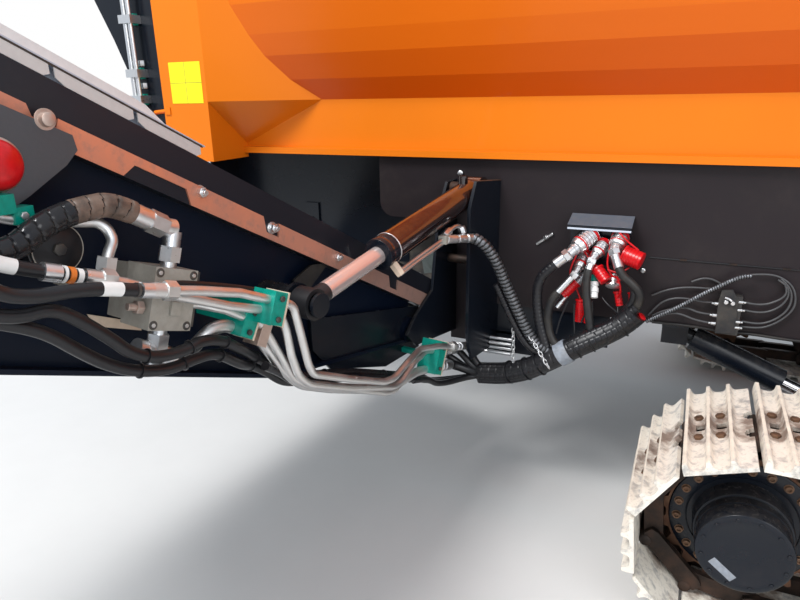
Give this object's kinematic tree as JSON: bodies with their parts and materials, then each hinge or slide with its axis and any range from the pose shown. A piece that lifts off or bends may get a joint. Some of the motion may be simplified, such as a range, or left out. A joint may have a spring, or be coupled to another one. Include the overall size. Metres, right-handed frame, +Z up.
{
  "type": "trommel screen front section",
  "caption": "Front section of a tracked trommel screen: two crawler tracks, plate chassis, faceted orange feed hopper and a luffing side conveyor with its ram.",
  "frame": {"origin": "on the ground, midway between the two tracks and between their end wheels", "axes": "+X along the machine away from its front end, -Y the near side with the conveyor, +Z up"},
  "size_m": [5.638, 5.2393, 2.8492],
  "materials": {
    "bare_steel": "bare steel with dust",
    "black_steel": "gloss black paint with dust",
    "chrome": "polished chrome",
    "orange_paint": "gloss orange paint",
    "pale_steel": "pale gloss paint",
    "red_plastic": "red dust-cap plastic",
    "rubber": "matt black belt",
    "rubber_hose": "black hose with spiral wrap",
    "teal_plastic": "teal clamp plastic",
    "track_steel": "worn, dusty steel with rust",
    "valve_metal": "grey-beige passivated metal",
    "zinc_steel": "zinc plated"
  },
  "bodies": {
    "chassis": {"chassis_cross_members": "black_steel", "chassis_nose": "black_steel", "chassis_rear_flange": "black_steel", "chassis_side_far": "black_steel", "chassis_side_near": "black_steel", "coupler_box": "black_steel", "coupler_hoses": "rubber_hose", "drive_wheel_far": "black_steel", "drive_wheel_near": "black_steel", "dust_caps": "red_plastic", "end_frame": "black_steel", "far_hinge_bracket": "black_steel", "feeder_bed": "bare_steel", "feeder_belt": "rubber", "feeder_drums": "bare_steel", "front_pipes": "zinc_steel", "grease_block": "zinc_steel", "hopper_front_wall": "orange_paint", "hopper_post_far": "orange_paint", "hopper_post_near": "orange_paint", "hopper_rear_wall": "orange_paint", "hopper_wall_far": "orange_paint", "hopper_wall_near": "orange_paint", "idler_wheel_far": "track_steel", "idler_wheel_near": "track_steel", "quick_couplers": "zinc_steel", "ram_bracket": "black_steel", "recess_panel_far": "black_steel", "recess_panel_near": "black_steel", "tilt_cylinder_barrel": "black_steel", "tilt_cylinder_rod": "chrome", "track_cross_beams": "black_steel", "track_frame_far": "black_steel", "track_frame_near": "black_steel", "track_loop_far": "track_steel", "track_loop_near": "track_steel", "track_rollers_far": "track_steel", "track_rollers_near": "track_steel"},
    "conveyor": {"conveyor_beam_far": "black_steel", "conveyor_beam_near": "black_steel", "conveyor_belt": "rubber", "conveyor_drive": "black_steel", "conveyor_drums": "bare_steel", "conveyor_gusset": "black_steel", "conveyor_idlers": "bare_steel", "conveyor_skirt": "pale_steel", "conveyor_strips": "bare_steel", "conveyor_ties": "black_steel", "hoses_conveyor": "rubber_hose", "hydraulic_pipes": "zinc_steel", "pipe_clamps": "teal_plastic", "red_dome": "red_plastic", "rod_lug": "black_steel", "under_frame_far": "black_steel", "under_frame_near": "black_steel", "valve_block": "valve_metal", "valve_fittings": "zinc_steel"},
    "ram_barrel": {"ram_barrel": "black_steel"},
    "ram_rod": {"ram_rod": "chrome"}
  },
  "joints": [
    {"name": "conveyor_luff", "type": "hinge", "parent": "chassis", "child": "conveyor", "pos_m": [-2.86865, -0.8905, 0.73], "axis": [-0.9848, 0.1736, 0], "range_deg": [-4, 30]},
    {"name": "ram_swing", "type": "hinge", "parent": "chassis", "child": "ram_barrel", "pos_m": [-2.3114, -0.72475, 1.242], "axis": [-0.9848, 0.1736, 0], "range_deg": [-3, 21]},
    {"name": "rod_slide", "type": "slide", "parent": "ram_barrel", "child": "ram_rod", "axis": [-0.1702, -0.9655, -0.1971], "range_m": [-0.265, 0.04]}
  ],
  "couplings": [
    {"joint": "ram_swing", "follows": "conveyor_luff", "ratio": 0.66436},
    {"joint": "rod_slide", "follows": "conveyor_luff", "m_per_rad": -0.49455}
  ]
}
